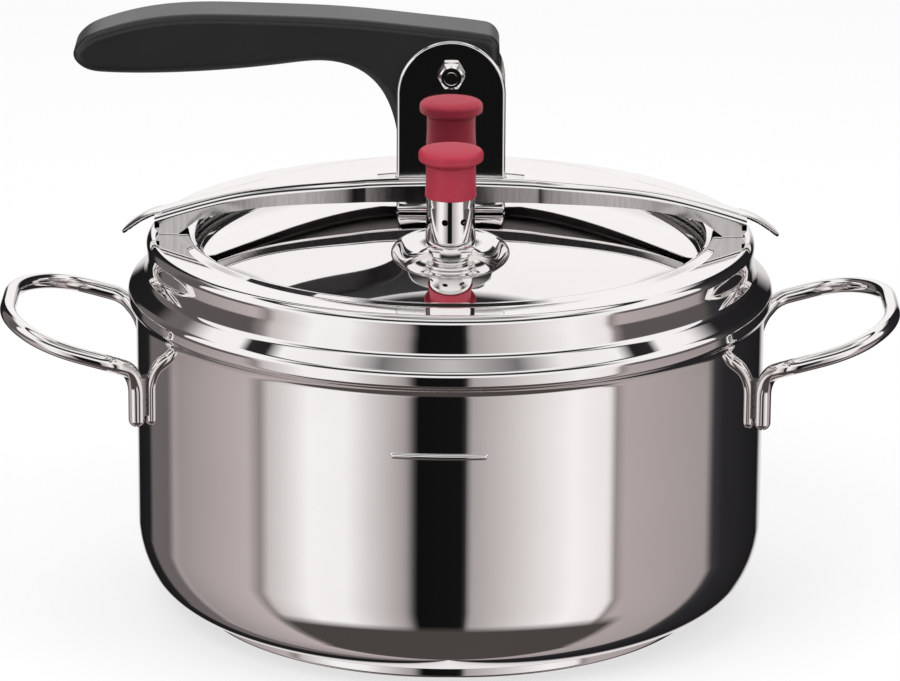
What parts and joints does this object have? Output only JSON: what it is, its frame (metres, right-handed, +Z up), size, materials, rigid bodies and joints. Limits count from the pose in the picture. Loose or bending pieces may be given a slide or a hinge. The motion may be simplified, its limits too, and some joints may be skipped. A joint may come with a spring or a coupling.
{
  "type": "stovetop pressure cooker",
  "caption": "Steel stovetop pressure cooker: sprung lid pulled up under the rim by a cam lever on a bridge, with operating and safety valves and wire side handles.",
  "frame": {"origin": "centre of the base's underside", "axes": "+Z up the pot's axis; +X along the bridge, away from the lever's grip; the operating valve is on the -Y side of the lid"},
  "size_m": [0.3216, 0.2304, 0.2179],
  "materials": {
    "polished_steel": "mirror polished stainless steel",
    "satin_steel": "turned and satin stainless steel",
    "aluminium_core": "plain disc",
    "bakelite": "satin moulded phenolic",
    "red_silicone": "satin silicone",
    "grey_silicone": "satin silicone"
  },
  "bodies": {
    "pot": {"pot_body": "polished_steel", "base_core": "aluminium_core", "base_cap": "polished_steel", "side_handle_left": "polished_steel", "side_handle_right": "polished_steel", "handle_welds": "satin_steel"},
    "bridge": {"bridge": "polished_steel", "cam_seat_plate": "polished_steel"},
    "lid": {"lid_disc": "polished_steel", "lid_gasket": "grey_silicone", "lever_bracket": "polished_steel", "bracket_backing_plate": "satin_steel", "bracket_rivets": "satin_steel", "pivot_bolt": "polished_steel", "pivot_nut": "satin_steel", "pivot_washers": "satin_steel", "valve_stem": "polished_steel", "valve_stem_seal": "grey_silicone", "valve_stem_nut": "satin_steel", "valve_strainer": "satin_steel", "safety_body": "satin_steel", "safety_seal": "grey_silicone", "safety_nut": "satin_steel", "safety_spring": "satin_steel"},
    "lever": {"lever_arm": "bakelite", "lever_bush": "satin_steel"},
    "weight": {"valve_sleeve": "polished_steel", "valve_weight": "satin_steel", "valve_cap": "red_silicone"},
    "plunger": {"safety_plunger": "satin_steel"}
  },
  "joints": [
    {"name": "lid_turn", "type": "hinge", "parent": "pot", "child": "bridge", "pos_m": [0, 0, 0.1364], "axis": [0, 0, 1], "continuous": true},
    {"name": "lid_drop", "type": "slide", "parent": "bridge", "child": "lid", "axis": [0, 0, -1], "range_m": [0, 0.0189]},
    {"name": "lever_swing", "type": "hinge", "parent": "lid", "child": "lever", "pos_m": [0, 0, 0.1976], "axis": [0, 1, 0], "range_deg": [0, 90]},
    {"name": "valve_lift", "type": "slide", "parent": "lid", "child": "weight", "axis": [0, 0, 1], "range_m": [0, 0.003]},
    {"name": "safety_lift", "type": "slide", "parent": "lid", "child": "plunger", "axis": [0, 0, 1], "range_m": [0, 0.002], "stiffness_N_per_m": 4000, "springref_m": -0.002, "deforming": ["safety_spring"]}
  ],
  "couplings": [
    {"joint": "lid_drop", "follows": "lever_swing", "m_per_rad": 0.011968}
  ]
}
